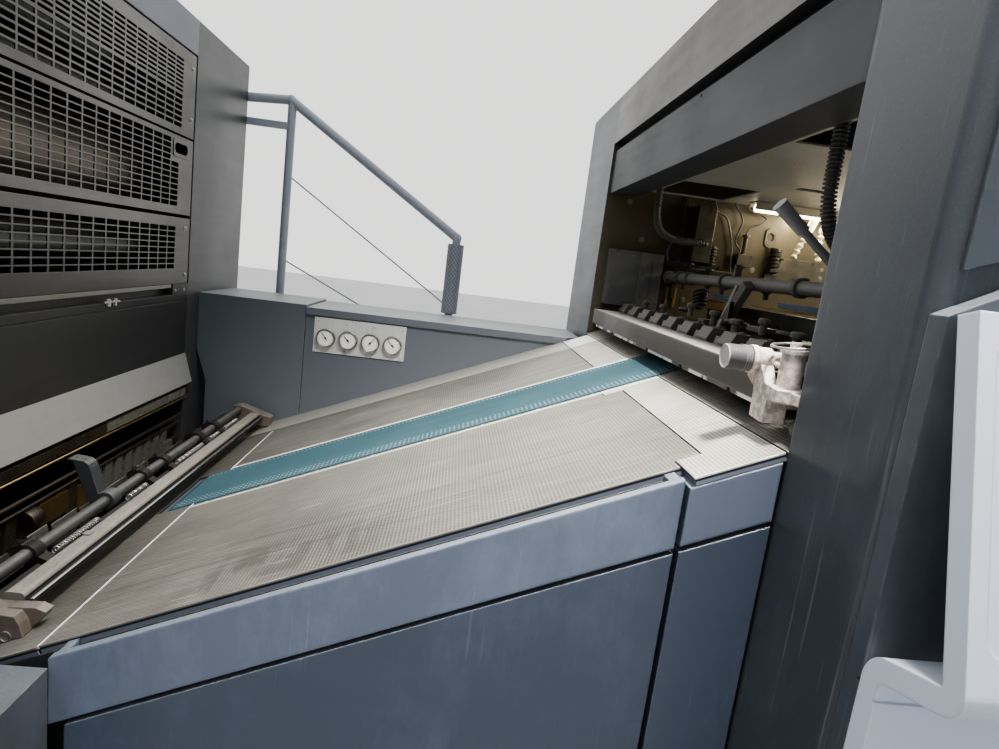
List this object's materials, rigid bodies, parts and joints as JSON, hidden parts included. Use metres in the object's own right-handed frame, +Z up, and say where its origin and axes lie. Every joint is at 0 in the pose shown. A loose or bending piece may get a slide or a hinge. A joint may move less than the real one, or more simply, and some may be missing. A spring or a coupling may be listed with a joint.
{
  "type": "offset printing press infeed section",
  "caption": "Infeed section of a sheet-fed offset press: feeder housing, sloped suction-belt feed table with pressure gauges, and first printing unit behind slotted steel guards.",
  "frame": {"origin": "on the floor under the feed table, on the press centreline midway between the printing side frames", "axes": "+Z up; +X along the press from the printing unit towards the feeder, against the sheet travel; +Y towards the drive side, so the operator stands at -Y"},
  "size_m": [3.736, 2.1673, 2.183],
  "materials": {
    "table_grey": "satin dark grey paint",
    "board_light": "fine cross-grooved, warm light grey, dusty",
    "lay_steel": "brushed, oiled and dusty",
    "belt_teal": "matt woven teal belt",
    "roller_steel": "ground",
    "tray_blue": "satin light blue-grey paint",
    "panel_slate": "satin dark blue-grey paint",
    "cover_dark": "textured dark slate paint",
    "fascia_blue": "satin blue-grey paint",
    "guard_steel": "stainless, smudged",
    "dark_steel": "blackened, oily",
    "plate_bronze": "ground cylinder with ink haze",
    "bar_alu": "milled",
    "cast_grey": "painted casting, worn",
    "cover_bright": "brushed sheet",
    "gauge_plate": "satin plate",
    "knob_black": "matt black",
    "knob_grey": "satin grey, worn",
    "rail_grey": "satin grey paint",
    "ceiling_grey": "dull sheet",
    "hose_grey": "corrugated grey hose",
    "console_grey": "satin light grey paint",
    "pile_brown": "worn dark paint"
  },
  "bodies": {
    "press": {"table_base": "table_grey", "feed_board": "board_light", "end_board": "board_light", "entry_plate": "dark_steel", "lay_plate": "lay_steel", "suction_belt": "belt_teal", "shafts": "roller_steel", "tray_cover": "tray_blue", "lower_panel": "panel_slate", "step_cover": "cover_dark", "drive_wall": "cover_dark", "gauge_panel": "gauge_plate", "handrail": "rail_grey", "unit_core": "table_grey", "unit_side_operator": "cover_dark", "unit_side_drive": "cover_dark", "unit_fascia": "fascia_blue", "fixed_guards": "guard_steel", "ledge": "bar_alu", "unit_apron": "dark_steel", "lead_plate": "guard_steel", "bay_rollers": "dark_steel", "plate_cylinder": "plate_bronze", "infeed_bars": "dark_steel", "front_lay_shaft": "roller_steel", "smoother_bar": "bar_alu", "bar_castings": "cast_grey", "post_near": "cover_dark", "post_far": "cover_dark", "feeder_beam": "cover_dark", "beam_cover": "cover_bright", "feeder_ceiling": "ceiling_grey", "front_bar": "cast_grey", "knob_casting": "cast_grey", "hold_down_blocks": "dark_steel", "lever_bracket": "dark_steel", "console": "console_grey", "operator_cover": "cover_dark", "hoses": "hose_grey", "wall_fittings": "cast_grey", "suction_head": "dark_steel", "pile_table": "pile_brown"},
    "guard": {"middle_guard": "guard_steel"},
    "knob": {"knob": "knob_grey"},
    "lever": {"lever": "knob_black"}
  },
  "joints": [
    {"name": "guard_hinge", "type": "hinge", "parent": "press", "child": "guard", "pos_m": [-0.872, 0, 1.63], "axis": [0, 1, 0], "range_deg": [0, 80]},
    {"name": "knob_turn", "type": "hinge", "parent": "press", "child": "knob", "pos_m": [0.386, -0.58, 1.512], "axis": [1, 0, 0], "continuous": true},
    {"name": "lever_pivot", "type": "hinge", "parent": "press", "child": "lever", "pos_m": [0.62, -0.45, 1.6216], "axis": [0, 1, 0], "range_deg": [-20, 30]}
  ]
}
